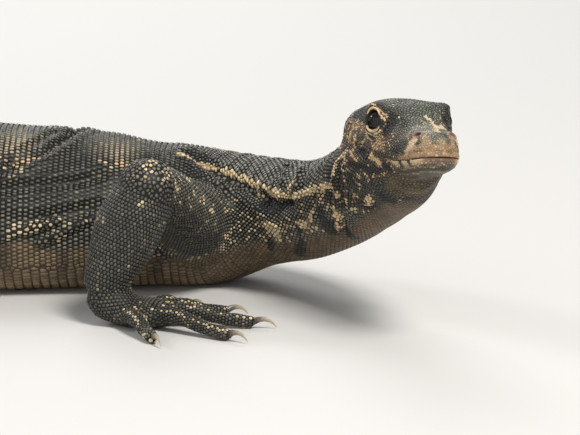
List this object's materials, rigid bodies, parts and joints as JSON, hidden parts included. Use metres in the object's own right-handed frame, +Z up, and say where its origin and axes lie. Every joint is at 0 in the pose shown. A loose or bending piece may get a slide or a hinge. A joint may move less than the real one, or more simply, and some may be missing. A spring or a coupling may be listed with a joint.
{
  "type": "water monitor lizard model",
  "caption": "Life-size still model of a water monitor lizard lying on its belly, head raised and turned to its right, long tail laid out behind.",
  "frame": {"origin": "on the belly's flat underside, midway between the shoulders, at the level that the animal lies on", "axes": "+X the way the trunk heads, +Y the animal's left, +Z up"},
  "size_m": [1.3782, 0.3612, 0.101],
  "materials": {
    "hide": "dull scaly slate-black hide with cream flecks",
    "claw_horn": "smooth cream-brown horn",
    "eye": "wet dark brown eye"
  },
  "bodies": {
    "root": {"head": "hide", "neck": "hide", "trunk_front": "hide", "trunk_rear": "hide", "tail_base": "hide", "tail_middle": "hide", "tail_end": "hide", "foreleg_right_upper_arm": "hide", "foreleg_right_forearm": "hide", "foreleg_right_hand": "hide", "foreleg_left_upper_arm": "hide", "foreleg_left_forearm": "hide", "foreleg_left_hand": "hide", "hindleg_right_thigh": "hide", "hindleg_right_shank": "hide", "hindleg_right_foot": "hide", "hindleg_left_thigh": "hide", "hindleg_left_shank": "hide", "hindleg_left_foot": "hide", "foreleg_right_claw_1": "claw_horn", "foreleg_right_claw_2": "claw_horn", "foreleg_right_claw_3": "claw_horn", "foreleg_right_claw_4": "claw_horn", "foreleg_right_claw_5": "claw_horn", "foreleg_left_claw_1": "claw_horn", "foreleg_left_claw_2": "claw_horn", "foreleg_left_claw_3": "claw_horn", "foreleg_left_claw_4": "claw_horn", "foreleg_left_claw_5": "claw_horn", "hindleg_right_claw_1": "claw_horn", "hindleg_right_claw_2": "claw_horn", "hindleg_right_claw_3": "claw_horn", "hindleg_right_claw_4": "claw_horn", "hindleg_right_claw_5": "claw_horn", "hindleg_left_claw_1": "claw_horn", "hindleg_left_claw_2": "claw_horn", "hindleg_left_claw_3": "claw_horn", "hindleg_left_claw_4": "claw_horn", "hindleg_left_claw_5": "claw_horn", "eye_left": "eye", "eye_right": "eye"}
  },
  "joints": []
}
